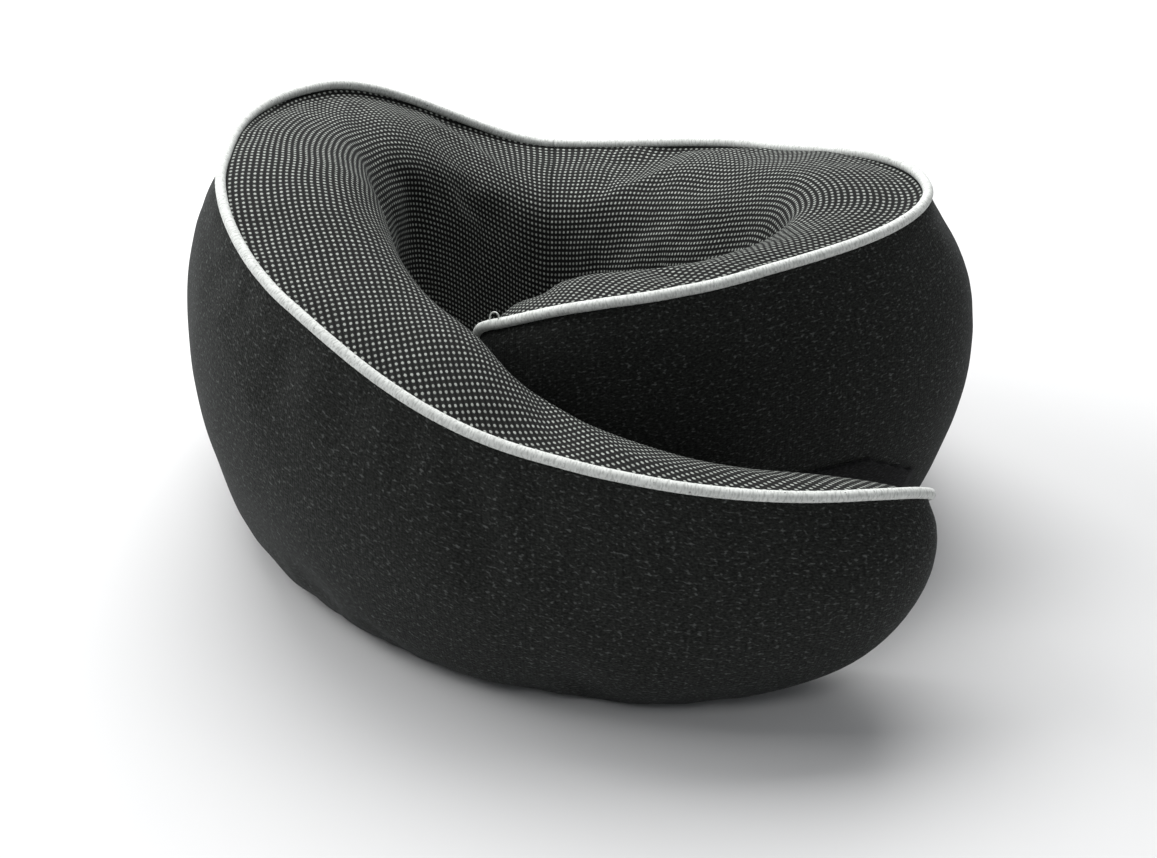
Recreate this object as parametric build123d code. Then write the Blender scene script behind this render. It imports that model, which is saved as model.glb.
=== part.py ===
import os
from math import cos, degrees, hypot, radians, sin, sqrt

from build123d import *

os.makedirs("parts", exist_ok=True)

# The pillow is one padded roll that coils round the neck, seen from above with the back of
# the neck at +Y.  The left arm is the outer one: it sweeps across the front and ends at the
# front right.  The right arm is the inner one and ends behind the outer arm.
# Plan angles are in degrees about a point in the neck hole: 0 is the side at +X, 90 the back,
# 180 the side at -X, 270 the outer arm at the front and -90 the inner arm behind it.
# The origin is on the surface that the pillow stands on, below the middle of its box, and Z is up.

# ---------------------------------------------------------------- driving dimensions (mm)
# plan angle: piping radius, piping height, top band width, outer bulge, crest drop, base depth
STATIONS = {
    -110: (41, 85.5, 31, 3, 9, 29),
    -70: (57, 101, 38, 6, 11, 34),
    -35: (80, 108, 44, 12, 13, 42),
    0: (122, 116, 48, 19, 14, 50),
    45: (106, 99, 46, 16, 14, 49),
    90: (109, 85, 44, 16, 14, 48),
    135: (116, 116.5, 48, 18, 14, 50),
    180: (99, 121.5, 52, 15, 14, 52),
    225: (96, 107, 50, 13, 7, 43),
    270: (108, 84, 46, 13, 6, 39),
    320: (155, 71, 29, 10, 9, 30),
}
PLAN_CENTRE = (-12.6, 0.7)      # the point that the plan angles turn about, from the origin
INNER_TIP = -121                # plan angle where the inner arm ends
OUTER_TIP = 322                 # plan angle where the outer arm ends
NOSE = 14                       # degrees over which a tip rounds off
TIP_FRACTIONS = (0.6, 0.3, 0.12, 0.03)    # sections of a rounding tip, as parts of NOSE
TIP_LIFT = 25                   # how far the outer arm's underside rises towards its tip
LIFT_START = 280                # plan angle where that rise begins

COVER = 1.6                     # knit cover, with its bonded backing
FOAM_INSET = 3.0                # the foam's surface below the outside of the cover
SEAM_GAP = 0.25                 # half the gap between two sewn panels
PIPING_R = 1.8                  # piping cord
PIPING_RISE = 0.8               # air between the piping and the seam that it stands on

SPLIT_GAP = 0.3                 # degrees from each flex plane to the nearest section
SECTION_STEP = 12               # degrees between sections, about

PATCH_THICK = 1.2               # hook and loop tapes
PATCH_GAP = 0.2                 # air between a tape and the cover it is sewn to
LOOP_SECTIONS = slice(9, 13)    # sections of the inner arm that carry the loop patch
LOOP_HEIGHTS = (16, 40)         # its lower and upper edges
HOOK_SECTIONS = slice(9, 12)    # sections of the outer arm that carry the hook patch
HOOK_HEIGHTS = (20, 46)         # its lower and upper edges

ZIP_CENTRE = (-7, -5)           # the zip follows a circle round this point, low on the back wall
ZIP_R = 123                     # radius of that circle at the middle of the tapes
ZIP_Z = 16                      # height of the middle of the tapes
ZIP_TILT = 11                   # the tapes lean outwards with the wall, degrees
ZIP_SPAN = (52, 128)            # degrees of arc that the tapes cover
ZIP_SLOT = (-3.8, 10, 8.2)      # slot in the cover: inner depth, outer depth, half width
TAPE = (0.45, 8.0, 0.3)         # tape: inner edge, outer edge, half thickness
COIL = (0.45, 3.0, 0.35, 1.5)   # coil half: inner edge, outer edge, underside, top
SLIDER_AT = 56                  # where the slider stands when the zip is closed
SLIDER_SIZE = (12, 9.4)         # length, width
SLIDER_TOP = (1.9, 3.1)         # top plate, above the middle of the tapes
SLIDER_BASE = (-2.6, -1.4)      # bottom plate
SLIDER_RIM = (0.7, 2.5)         # side walls, near and far from the tapes
SLIDER_WALL = 0.8               # thickness of the side walls
SLIDER_POST = (5, 0.2)          # half length and half width of the post between the plates
BRIDGE = (1, 2.2, 3.0, 4.7, 5.3)    # half width, leg inside, leg outside, underside, top
PULL_PIN = (0.6, 2.2, 3.9)      # pull pin: radius, half length, height above the tapes
PULL_ARM = (1.4, 6)             # pull arms: inner face from the middle, length
PULL_TAB = (5, 24, 2.6, 1.6)    # tab: near end, far end, half width, corner radius

STOP_RISE = 0.4                 # the end stops stand this much above the coil
TEETH_END = 1.5                 # degrees from each end of the tapes to the coil
STOP_MARGINS = (0.2, 0.1)       # degrees from a stop to the tapes' end, and to the coil


# ---------------------------------------------------------------- the roll's cross-section
def station_values(angle):
    """Blend the station rows at a plan angle, with monotone cubics that never overshoot."""
    keys = sorted(STATIONS)
    angle = min(max(angle, keys[0]), keys[-1])
    i = max(j for j in range(len(keys) - 1) if keys[j] <= angle)
    return [hermite(keys, [STATIONS[k][column] for k in keys], i, angle) for column in range(6)]


def tangent(keys, values, i):
    """Slope of the monotone cubic at knot i."""
    slopes = []
    for j in (i - 1, i):
        j = min(max(j, 0), len(keys) - 2)
        slopes.append((values[j + 1] - values[j]) / (keys[j + 1] - keys[j]))
    if slopes[0] * slopes[1] <= 0:
        return 0.0
    return 2 * slopes[0] * slopes[1] / (slopes[0] + slopes[1])


def hermite(keys, values, i, x):
    """Cubic between knots i and i + 1."""
    span = keys[i + 1] - keys[i]
    t = (x - keys[i]) / span
    start = (1 + 2 * t) * (1 - t) ** 2 * values[i] + t * t * (3 - 2 * t) * values[i + 1]
    m0, m1 = tangent(keys, values, i), tangent(keys, values, i + 1)
    return start + span * (t * (1 - t) ** 2 * m0 - t * t * (1 - t) * m1)


def base_height(angle):
    """The underside is flat on the table except below the outer tip, where it rises."""
    if angle <= LIFT_START:
        return 0.0
    t = (angle - LIFT_START) / (OUTER_TIP - LIFT_START)
    return TIP_LIFT * t * t


def outline(angle):
    """Points (radius, height) round the roll: outer wall down, underside, neck side up."""
    rp, zt, w, b, d, base = station_values(angle)
    zb = base_height(angle)
    h = zt - zb
    outer = [(rp, zt), (rp + 0.75 * b, zb + 0.78 * h), (rp + b, zb + 0.5 * h),
             (rp + 0.6 * b, zb + 0.18 * h), (rp - 0.1 * w, zb)]
    neck = [(rp - 0.8 * base, zb), (rp - base, zb + 0.16 * h),
            (rp - 0.5 * w - 0.5 * base - 2, zb + 0.5 * h),
            (rp - w, zt - d - 0.12 * h), (rp - 0.86 * w, zt - 0.72 * d),
            (rp - 0.4 * w, zt - 0.15 * d), (rp, zt)]
    return outer, neck


def shifted(points, inset, first_normal, last_normal):
    """Move a run of points inwards; the roll lies on the right of their direction."""
    moved = []
    for i, (x, z) in enumerate(points):
        if i == 0:
            nx, nz = first_normal
        elif i == len(points) - 1:
            nx, nz = last_normal
        else:
            dx = points[i + 1][0] - points[i - 1][0]
            dz = points[i + 1][1] - points[i - 1][1]
            nx, nz = dz / hypot(dx, dz), -dx / hypot(dx, dz)
        moved.append((x + inset * nx, z + inset * nz))
    return moved


def mid_radius(angle):
    """Plan radius of the middle of the roll."""
    rp, zt, w, b, d, base = station_values(angle)
    return rp - 0.4 * w


def tip_scale(angle, inset):
    """How much the section has shrunk at a plan angle, 1 away from the rounded tips."""
    scale = 1.0
    for tip, sign in ((INNER_TIP, 1), (OUTER_TIP, -1)):
        end = tip + sign * degrees(inset / mid_radius(tip))
        s = min(max(sign * (angle - end) / NOSE, 0.0), 1.0)
        scale *= sqrt(1 - (1 - s) ** 2)
    return max(scale, 0.05)


def section_points(angle, inset):
    """Outer and neck-side points of one section at a plan angle, inside the surface by inset."""
    outer, neck = outline(angle)
    corner = (-0.75 * 1.3, -0.66 * 1.3)
    outer = shifted(outer, inset, corner, (0, 1))
    neck = shifted(neck, inset, (0, 1), corner)
    k = tip_scale(angle, inset)
    xs = [p[0] for p in outer + neck]
    zs = [p[1] for p in outer + neck]
    cx = sum(xs) / len(xs)
    cz = 0.4 * min(zs) + 0.6 * max(zs)
    outer, neck = [[(cx + k * (x - cx), cz + k ** 0.6 * (z - cz)) for x, z in run]
                   for run in (outer, neck)]
    return outer, neck, (cx, cz)


def in_space(angle, point):
    """A (radius, height) point of a section, placed in the row frame."""
    x, z = point
    return Vector(x * cos(radians(angle)), x * sin(radians(angle)), z)


def frame_at(angle):
    """Outward and upward directions of the section plane at a plan angle."""
    return Vector(cos(radians(angle)), sin(radians(angle)), 0), Vector(0, 0, 1)


def wall_curve(angle, inset):
    """Outer wall of a section, from the piping seam down to the underside."""
    out, up = frame_at(angle)
    points = [in_space(angle, p) for p in section_points(angle, inset)[0]]
    return Spline(points, tangents=[out * 0.5 - up, -out])


def neck_curve(angle, inset):
    """Neck side of a section, from the underside up over the crest to the piping seam."""
    out, up = frame_at(angle)
    points = [in_space(angle, p) for p in section_points(angle, inset)[1]]
    return Spline(points, tangents=[-out, out + up * 0.3])


def section_angles(start, end, inset=0.0):
    """Section angles, evenly spaced, and closer together where a tip rounds off."""
    inner_end = INNER_TIP + degrees(inset / mid_radius(INNER_TIP))
    outer_end = OUTER_TIP - degrees(inset / mid_radius(OUTER_TIP))
    lo, hi = max(start, inner_end + NOSE), min(end, outer_end - NOSE)
    count = max(2, round((hi - lo) / SECTION_STEP))
    angles = [lo + (hi - lo) * i / count for i in range(count + 1)]
    if start <= INNER_TIP:
        angles = [inner_end + NOSE * f for f in reversed(TIP_FRACTIONS)] + angles
    if end >= OUTER_TIP:
        angles = angles + [outer_end - NOSE * f for f in TIP_FRACTIONS]
    return angles


def loft_of(wires):
    """Closed solid through a run of wires, straight from each wire to the next."""
    return Solid.make_loft(wires, True)


# ---------------------------------------------------------------- pieces of the padded roll
def foam(start, end):
    """Moulded foam of one stretch, inside the cover."""
    wires = []
    for angle in section_angles(start, end, FOAM_INSET):
        wall, neck = wall_curve(angle, FOAM_INSET), neck_curve(angle, FOAM_INSET)
        wires.append(Wire([wall.edge(), Line(wall @ 1, neck @ 0).edge(), neck.edge()]))
    return loft_of(wires)


def panel(start, end, side):
    """One cover panel of one stretch: outer wall, neck side or base."""
    make = {"outer": outer_strip, "neck": neck_strip, "base": base_strip}[side]
    return loft_of([make(angle) for angle in section_angles(start, end)])


def strip_wire(front, back):
    """Closed wire between two curves that run the same way."""
    ends = [Line(front @ 1, back @ 1).edge(), Line(back @ 0, front @ 0).edge()]
    return Wire([front.edge(), ends[0], back.edge(), ends[1]])


def trimmed(curve, at_start, at_end):
    """The curve without a short length at each end."""
    length = curve.length
    return curve.trim(min(at_start / length, 0.2), 1 - min(at_end / length, 0.2))


def outer_strip(angle):
    """Section of the outer panel."""
    wall, lining = wall_curve(angle, 0), wall_curve(angle, COVER)
    return strip_wire(*[trimmed(c, SEAM_GAP, SEAM_GAP) for c in (wall, lining)])


def neck_strip(angle):
    """Section of the dotted panel: neck side, crest and top band."""
    skin, lining = neck_curve(angle, 0), neck_curve(angle, COVER)
    return strip_wire(*[trimmed(c, SEAM_GAP, SEAM_GAP) for c in (skin, lining)])


def base_strip(angle):
    """Section of the base panel."""
    skin = Line(wall_curve(angle, 0) @ 1, neck_curve(angle, 0) @ 0)
    lining = Line(wall_curve(angle, COVER) @ 1, neck_curve(angle, COVER) @ 0)
    return strip_wire(*[trimmed(c, SEAM_GAP, SEAM_GAP) for c in (skin, lining)])


def flat_base(start, end):
    """Base panel of a stretch that stands flat on the table."""
    angles = section_angles(start, end)
    feet = []
    for angle in angles:
        toe, heel = wall_curve(angle, 0) @ 1, neck_curve(angle, 0) @ 0
        step = (heel - toe).normalized() * SEAM_GAP
        feet.append((toe + step, heel - step))
    rim = [f[0] for f in feet] + [f[1] for f in reversed(feet)]
    return extrude(make_face(Polyline(*rim, close=True)), COVER, dir=(0, 0, 1))


def piping(start, end):
    """Round cord that stands on the seam between the outer wall and the top band."""
    lift = PIPING_R + PIPING_RISE
    angles = [a for a in section_angles(start, end)
              if INNER_TIP + 0.5 * NOSE < a < OUTER_TIP - 0.2 * NOSE]
    centres = []
    for angle in angles:
        x, z = section_points(angle, 0)[0][0]
        centres.append(in_space(angle, (x + 0.75 * lift, z + 0.66 * lift)))
    rings = []
    for i, centre in enumerate(centres):
        run = centres[min(i + 1, len(centres) - 1)] - centres[max(i - 1, 0)]
        if i in (0, len(centres) - 1) and abs(angles[i] % 180) < 1:
            run = Vector(0, 1, 0) if angles[i] < 90 else Vector(0, -1, 0)
        plane = Plane(origin=centre, x_dir=frame_at(angles[i])[0].cross(run), z_dir=run)
        rings.append(Wire.make_circle(PIPING_R, plane))
    return loft_of(rings)


def patch(angles, heights, curve):
    """Hook or loop tape on a wall, over some of its sections and between two heights."""
    wires = []
    for angle in angles:
        near = [point_at_height(curve(angle, -PATCH_GAP), z) for z in spread(*heights)]
        far = [point_at_height(curve(angle, -PATCH_GAP - PATCH_THICK), z) for z in spread(*heights)]
        wires.append(strip_wire(Spline(near), Spline(far)))
    return loft_of(wires)


def spread(low, high):
    """Four evenly spaced heights."""
    return [low + (high - low) * i / 3 for i in range(4)]


def point_at_height(curve, height):
    """Point of a wall curve at a height, found by halving between its middle and its low end."""
    low, high = (0.0, 0.5) if (curve @ 0).Z < (curve @ 1).Z else (1.0, 0.4)
    for _ in range(30):
        middle = (low + high) / 2
        if (curve @ middle).Z < height:
            low = middle
        else:
            high = middle
    return curve @ low


def block(x0, y0, z0, x1, y1, z1):
    """Box between two corners."""
    return Pos((x0 + x1) / 2, (y0 + y1) / 2, (z0 + z1) / 2) * Box(x1 - x0, y1 - y0, z1 - z0)


def save(name, shape):
    """Write one node, moved from the plan centre to the row's origin."""
    export_step(Pos(*PLAN_CENTRE, 0) * shape, f"parts/{name}.step")


def build_roll(body, start, end, slot=None):
    """Foam, cover panels and piping of one stretch of the pillow."""
    core, wall = foam(start, end), panel(start, end, "outer")
    if slot is not None:
        core, wall = core - slot, wall - slot
    save(f"foam_core_{body}", core)
    save(f"cover_outer_panel_{body}", wall)
    save(f"cover_neck_panel_{body}", panel(start, end, "neck"))
    flat = start >= 0 and end <= LIFT_START
    save(f"cover_base_panel_{body}", flat_base(start, end) if flat else panel(start, end, "base"))
    save(f"piping_{body}", piping(start, end))


# ---------------------------------------------------------------- zip
def zip_plane(angle):
    """Plane on the tapes: X along the zip, Y up the wall, Z outwards."""
    a, tilt = radians(angle), radians(ZIP_TILT)
    along = Vector(-sin(a), cos(a), 0)
    outward = Vector(cos(tilt) * cos(a), cos(tilt) * sin(a), -sin(tilt))
    origin = Vector(ZIP_CENTRE[0] + ZIP_R * cos(a), ZIP_CENTRE[1] + ZIP_R * sin(a), ZIP_Z)
    return Plane(origin=origin, x_dir=along, z_dir=outward)


def zip_band(y0, y1, z0, z1, span):
    """Band that follows the zip's circle, from its section across the tapes."""
    plane = zip_plane(span[0])
    corners = [plane.from_local_coords(Vector(0, y, z)) for y, z in ((y0, z0), (y1, z0), (y1, z1), (y0, z1))]
    face = Face(Wire.make_polygon(corners, close=True))
    axis = Axis((ZIP_CENTRE[0], ZIP_CENTRE[1], 0), (0, 0, 1))
    return revolve(face, axis, span[1] - span[0])


def build_zip():
    """Tapes, coil halves, end stops, slider and pull."""
    inner, outer, half = TAPE
    low, high, under, top = COIL
    teeth = (ZIP_SPAN[0] + TEETH_END, ZIP_SPAN[1] - TEETH_END)
    save("zip_tape_upper", zip_band(inner, outer, -half, half, ZIP_SPAN))
    save("zip_tape_lower", zip_band(-outer, -inner, -half, half, ZIP_SPAN))
    save("zip_coil_upper", zip_band(low, high, under, top, teeth))
    save("zip_coil_lower", zip_band(-high, -low, under, top, teeth))
    crown = top + STOP_RISE
    far, near = STOP_MARGINS
    start, end = (ZIP_SPAN[0] + far, teeth[0] - near), (teeth[1] + near, ZIP_SPAN[1] - far)
    top_stops = [zip_band(s * low, s * high, under, crown, start) for s in (1, -1)]
    save("zip_top_stops", Compound(children=top_stops))
    save("zip_bottom_stop", zip_band(-high, high, under, crown, end))
    rest = zip_plane(SLIDER_AT).location
    save("zip_slider", rest * build_slider())
    save("zip_pull", rest * build_pull())


def build_slider():
    """Two plates with side walls round the coil, a post between them, and a bridge on top."""
    x, y = SLIDER_SIZE[0] / 2, SLIDER_SIZE[1] / 2
    top, base, rim = SLIDER_TOP, SLIDER_BASE, SLIDER_RIM
    half, leg_in, leg_out, under, crown = BRIDGE
    top_middle, base_middle = sum(top) / 2, sum(base) / 2
    post_x, post_y = SLIDER_POST
    slider = block(-x, -y, top[0], x, y, top[1]) + block(-x, -y, base[0], x, y, base[1])
    slider += block(-post_x, -post_y, base_middle, post_x, post_y, top_middle)
    for s in (-1, 1):
        near, far = sorted((s * (y - SLIDER_WALL), s * y))
        slider += block(-x, near, rim[0], x, far, rim[1])
        slider += block(-x, near, base_middle, x, far, -rim[0])
        near, far = sorted((s * leg_in, s * leg_out))
        slider += block(near, -half, top_middle, far, half, crown)
    return slider + block(-leg_out, -half, under, leg_out, half, crown)


def build_pull():
    """Pin under the slider's bridge, two arms and a flat tab with rounded corners."""
    radius, half_pin, height = PULL_PIN
    inner, reach = PULL_ARM
    near, far, half_width, corner = PULL_TAB
    low, high = height - radius, height + radius
    pull = Pos(0, 0, height) * Rot(90, 0, 0) * Cylinder(radius, 2 * half_pin)
    for s in (-1, 1):
        side = sorted((s * inner, s * half_pin))
        pull += block(0, side[0], low, reach, side[1], high)
    tab = block(near, -half_width, low, far, half_width, high)
    return pull + fillet(tab.edges().filter_by(Axis.Z), corner)


# ---------------------------------------------------------------- the whole pillow
zip_slot = zip_band(-ZIP_SLOT[2], ZIP_SLOT[2], ZIP_SLOT[0], ZIP_SLOT[1], ZIP_SPAN)
left_arm = (180 + SPLIT_GAP, OUTER_TIP)
right_arm = (INNER_TIP, -SPLIT_GAP)
build_roll("back", SPLIT_GAP, 180 - SPLIT_GAP, zip_slot)
build_roll("left_arm", *left_arm)
build_roll("right_arm", *right_arm)
save("loop_patch", patch(section_angles(*right_arm)[LOOP_SECTIONS], LOOP_HEIGHTS, wall_curve))
save("hook_patch", patch(section_angles(*left_arm)[HOOK_SECTIONS], HOOK_HEIGHTS, neck_curve))
build_zip()
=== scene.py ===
# %% [markdown]
# # A wrap-around neck pillow
# The pillow is one padded roll that coils round the neck. Its left arm sweeps across the front and
# its right arm tucks in behind, so seen from above it is a U whose ends overlap. A dark heather
# knit covers the outside, a dotted knit covers the top and the neck side, and a white piping cord
# stands on the seam between them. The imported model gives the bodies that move; everything that
# shows is made here, round those bodies.

# %% Load the frame
import math
import bmesh
import bpy
import numpy as np
from mathutils import Matrix, Vector, noise


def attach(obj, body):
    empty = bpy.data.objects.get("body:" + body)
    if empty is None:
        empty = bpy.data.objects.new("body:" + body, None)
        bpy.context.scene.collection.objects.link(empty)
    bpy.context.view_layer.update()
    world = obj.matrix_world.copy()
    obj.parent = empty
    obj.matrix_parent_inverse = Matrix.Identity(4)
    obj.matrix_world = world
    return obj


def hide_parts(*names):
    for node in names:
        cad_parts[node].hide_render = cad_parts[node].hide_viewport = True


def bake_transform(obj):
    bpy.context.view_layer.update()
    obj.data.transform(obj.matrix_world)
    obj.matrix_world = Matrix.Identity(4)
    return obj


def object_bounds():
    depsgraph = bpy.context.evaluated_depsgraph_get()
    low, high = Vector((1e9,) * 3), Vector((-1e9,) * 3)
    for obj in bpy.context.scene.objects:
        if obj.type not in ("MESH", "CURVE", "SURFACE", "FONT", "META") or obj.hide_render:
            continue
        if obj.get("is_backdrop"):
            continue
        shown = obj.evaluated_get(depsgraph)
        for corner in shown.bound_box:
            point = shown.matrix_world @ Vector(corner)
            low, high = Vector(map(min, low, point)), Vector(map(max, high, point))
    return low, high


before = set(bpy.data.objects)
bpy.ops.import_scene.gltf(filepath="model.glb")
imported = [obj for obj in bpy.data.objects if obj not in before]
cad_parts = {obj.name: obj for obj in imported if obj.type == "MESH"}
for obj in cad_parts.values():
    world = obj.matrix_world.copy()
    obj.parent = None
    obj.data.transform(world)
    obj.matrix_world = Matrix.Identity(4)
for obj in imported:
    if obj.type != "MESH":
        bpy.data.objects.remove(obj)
cad_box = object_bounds()
MM = 0.001

# %% [markdown]
# ## The driving sizes
# A roll like this is best described by a few cross-sections. Each row below gives, at one plan
# angle, where the piping runs and how wide, round and deep the roll is there. Everything between
# two rows is blended, so eleven rows are enough for the whole pillow. The angles turn about a point
# in the neck hole: 0 is the side at +X, 90 the back of the neck, 270 the front.

# %% Driving sizes
# plan angle: piping radius, piping height, top band width, outer bulge, crest drop, base depth, in mm
STATIONS = {
    -110: (41, 85.5, 31, 3, 9, 29),
    -70: (57, 101, 38, 6, 11, 34),
    -35: (80, 108, 44, 12, 13, 42),
    0: (122, 116, 48, 19, 14, 50),
    45: (106, 99, 46, 16, 14, 49),
    90: (109, 85, 44, 16, 14, 48),
    135: (116, 116.5, 48, 18, 14, 50),
    180: (99, 121.5, 52, 15, 14, 52),
    225: (96, 107, 50, 13, 7, 43),
    270: (108, 84, 46, 13, 6, 39),
    320: (155, 71, 29, 10, 9, 30),
}
CENTRE = Vector((-12.6, 0.7, 0)) * MM       # the point that the plan angles turn about
BACK_MIDDLE = 90                            # where the left and right halves of the cover meet
TIPS = {"left": 322, "right": -121}         # plan angles of the two arm ends
NOSE = 14                                   # degrees over which an arm end rounds off
TIP_LIFT, LIFT_START = 25, 280              # the outer arm's underside rises towards its end
FOAM_INSET = 2.1                            # the foam lies this far inside the outside of the cover
RING_STEP = 2.4                             # degrees between rings of the mesh
NOSE_STEPS = (0.82, 0.64, 0.48, 0.34, 0.22, 0.12, 0.05, 0.015, 0.003)
OUTER_N, BASE_N, NECK_N = 34, 12, 50        # mesh steps across the outer wall, base and neck side
RING_N = OUTER_N + BASE_N + NECK_N
print("cover mesh:", RING_N, "points round each section")

# %% [markdown]
# ## Blending the rows
# A plain cubic through the rows would overshoot and give the roll waves that nobody sewed. A
# monotone cubic keeps each stretch between its two rows, so the outline only turns where a row
# says so.


# %% Blend the rows
def knot_slope(keys, values, i):
    """Slope of the monotone cubic at one row."""
    steps = [min(max(j, 0), len(keys) - 2) for j in (i - 1, i)]
    before, after = [(values[j + 1] - values[j]) / (keys[j + 1] - keys[j]) for j in steps]
    return 0.0 if before * after <= 0 else 2 * before * after / (before + after)


def row_at(angle):
    """The six sizes at any plan angle."""
    keys = sorted(STATIONS)
    angle = min(max(angle, keys[0]), keys[-1])
    i = max(j for j in range(len(keys) - 1) if keys[j] <= angle)
    span = keys[i + 1] - keys[i]
    t = (angle - keys[i]) / span
    row = []
    for column in range(6):
        values = [STATIONS[k][column] for k in keys]
        level = (1 + 2 * t) * (1 - t) ** 2 * values[i] + t * t * (3 - 2 * t) * values[i + 1]
        slopes = knot_slope(keys, values, i), knot_slope(keys, values, i + 1)
        row.append(level + span * (t * (1 - t) ** 2 * slopes[0] - t * t * (1 - t) * slopes[1]))
    return row


def base_height(angle):
    """The underside lies flat except below the outer tip."""
    t = max(0.0, (angle - LIFT_START) / (TIPS["left"] - LIFT_START))
    return TIP_LIFT * t * t


def outline(angle):
    """Corner points (radius, height) of a section: outer wall downwards, then neck side upwards."""
    rp, zt, w, b, d, base = row_at(angle)
    zb = base_height(angle)
    h = zt - zb
    outer = [(rp, zt), (rp + 0.75 * b, zb + 0.78 * h), (rp + b, zb + 0.5 * h),
             (rp + 0.6 * b, zb + 0.18 * h), (rp - 0.1 * w, zb)]
    neck = [(rp - 0.8 * base, zb), (rp - base, zb + 0.16 * h),
            (rp - 0.5 * w - 0.5 * base - 2, zb + 0.5 * h),
            (rp - w, zt - d - 0.12 * h), (rp - 0.86 * w, zt - 0.72 * d),
            (rp - 0.4 * w, zt - 0.15 * d), (rp, zt)]
    return np.array(outer), np.array(neck)


print("piping height at the back:", round(row_at(90)[1]), "mm, at the sides:",
      round(row_at(180)[1]), "and", round(row_at(0)[1]), "mm")

# %% [markdown]
# ## Smooth sections
# Each run of corner points becomes a smooth curve, a cubic spline with a chosen direction at both
# ends: flat where the wall meets the base, and steep at the piping, where the two fabrics meet at
# an edge. The curve is then cut into equal steps, so that the mesh has even squares. That matters,
# because cloth simulation pulls an uneven mesh out of shape.


# %% Smooth sections
def unit(v):
    return np.array(v, float) / np.linalg.norm(v)


def smooth_run(points, start, end, count):
    """Equal steps along a cubic spline through the points, with the given end directions."""
    h = np.linalg.norm(np.diff(points, axis=0), axis=1)
    n = len(points)
    matrix, right = np.zeros((n, n)), np.zeros((n, points.shape[1]))
    matrix[0, 0] = matrix[-1, -1] = 1
    right[0], right[-1] = unit(start), unit(end)
    for i in range(1, n - 1):
        matrix[i, i - 1:i + 2] = h[i], 2 * (h[i - 1] + h[i]), h[i - 1]
        right[i] = 3 * (h[i] / h[i - 1] * (points[i] - points[i - 1])
                        + h[i - 1] / h[i] * (points[i + 1] - points[i]))
    slope = np.linalg.solve(matrix, right)
    t = np.linspace(0, 1, 20, endpoint=False)[:, None]
    fine = [(1 + 2 * t) * (1 - t) ** 2 * points[i] + t * (1 - t) ** 2 * h[i] * slope[i]
            + t * t * (3 - 2 * t) * points[i + 1] - t * t * (1 - t) * h[i] * slope[i + 1]
            for i in range(n - 1)]
    fine = np.concatenate(fine + [points[-1:]])
    length = np.concatenate([[0], np.cumsum(np.linalg.norm(np.diff(fine, axis=0), axis=1))])
    want = np.linspace(0, length[-1], count + 1)
    return np.stack([np.interp(want, length, fine[:, k]) for k in range(points.shape[1])], 1)


def tip_scale(angle):
    """How much a section has shrunk at a plan angle; 1 away from the rounded ends."""
    scale = 1.0
    for tip, sign in ((TIPS["right"], 1), (TIPS["left"], -1)):
        s = min(max(sign * (angle - tip) / NOSE, 0.0), 1.0)
        scale *= math.sqrt(1 - (1 - s) ** 2)
    return max(scale, 0.02)


def section(angle):
    """Closed ring of (radius, height) points in mm, starting at the piping seam."""
    outer, neck = outline(angle)
    walls = smooth_run(outer, (0.45, -0.89), (-1, 0), OUTER_N)
    base = np.linspace(outer[-1], neck[0], BASE_N + 1)
    inner = smooth_run(neck, (-1, 0), (0.96, 0.29), NECK_N)
    ring = np.concatenate([walls[:-1], base[:-1], inner[:-1]])
    corners = np.concatenate([outer, neck])
    centre = np.array([corners[:, 0].mean(), 0.4 * corners[:, 1].min() + 0.6 * corners[:, 1].max()])
    k = tip_scale(angle)
    return centre + (ring - centre) * np.array([k, k ** 0.6])


def placed(angle, ring):
    """A section's points in the row frame, in metres."""
    a = math.radians(angle)
    return [CENTRE + Vector((r * math.cos(a), r * math.sin(a), z)) * MM for r, z in ring]


print("section at the back:", len(section(90)), "points")

# %% [markdown]
# ## From sections to a mesh
# A loft is made from rings: each section starts as a circle with the right number of points, its
# points are moved onto the section, and bridge_loops joins each ring to the next with a band of
# squares. Every point remembers its row and column, so seams, panels and the fabric's own
# coordinates can be found later without measuring anything.


# %% Lofting rings
def loft(rings, cap_start=False, cap_end=False):
    """bmesh with a band of squares between each ring of points and the next."""
    bm = bmesh.new()
    row_of = bm.verts.layers.int.new("row")
    column_of = bm.verts.layers.int.new("column")
    before = None
    for row, points in enumerate(rings):
        circle = bmesh.ops.create_circle(bm, cap_ends=False, radius=1, segments=len(points))["verts"]
        for column, (vert, point) in enumerate(zip(circle, points)):
            vert.co = point
            vert[row_of], vert[column_of] = row, column
        edges = list({e for v in circle for e in v.link_edges})
        if before:
            bmesh.ops.bridge_loops(bm, edges=before + edges)
        before = edges
        if (row == 0 and cap_start) or (row == len(rings) - 1 and cap_end):
            bmesh.ops.contextual_create(bm, geom=edges)
    bmesh.ops.recalc_face_normals(bm, faces=bm.faces)
    return bm


def half_angles(side):
    """Plan angles of the rings of one half, from the middle of the back to the tip."""
    end, sign = TIPS[side], (1 if side == "left" else -1)
    straight = end - sign * NOSE
    count = round(abs(straight - BACK_MIDDLE) / RING_STEP)
    angles = list(np.linspace(BACK_MIDDLE, straight, count + 1))
    return angles + [end - sign * NOSE * f for f in NOSE_STEPS]


def outward(bm):
    """Turns every face outwards if the whole shell came out inside out."""
    if bm.calc_volume(signed=True) < 0:
        bmesh.ops.reverse_faces(bm, faces=bm.faces)


def new_piece(name, bm):
    """Turns a finished bmesh into an object in the scene."""
    mesh = bpy.data.meshes.new(name)
    for face in bm.faces:
        face.smooth = True
    bm.to_mesh(mesh)
    bm.free()
    piece = bpy.data.objects.new(name, mesh)
    bpy.context.collection.objects.link(piece)
    return piece


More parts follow.
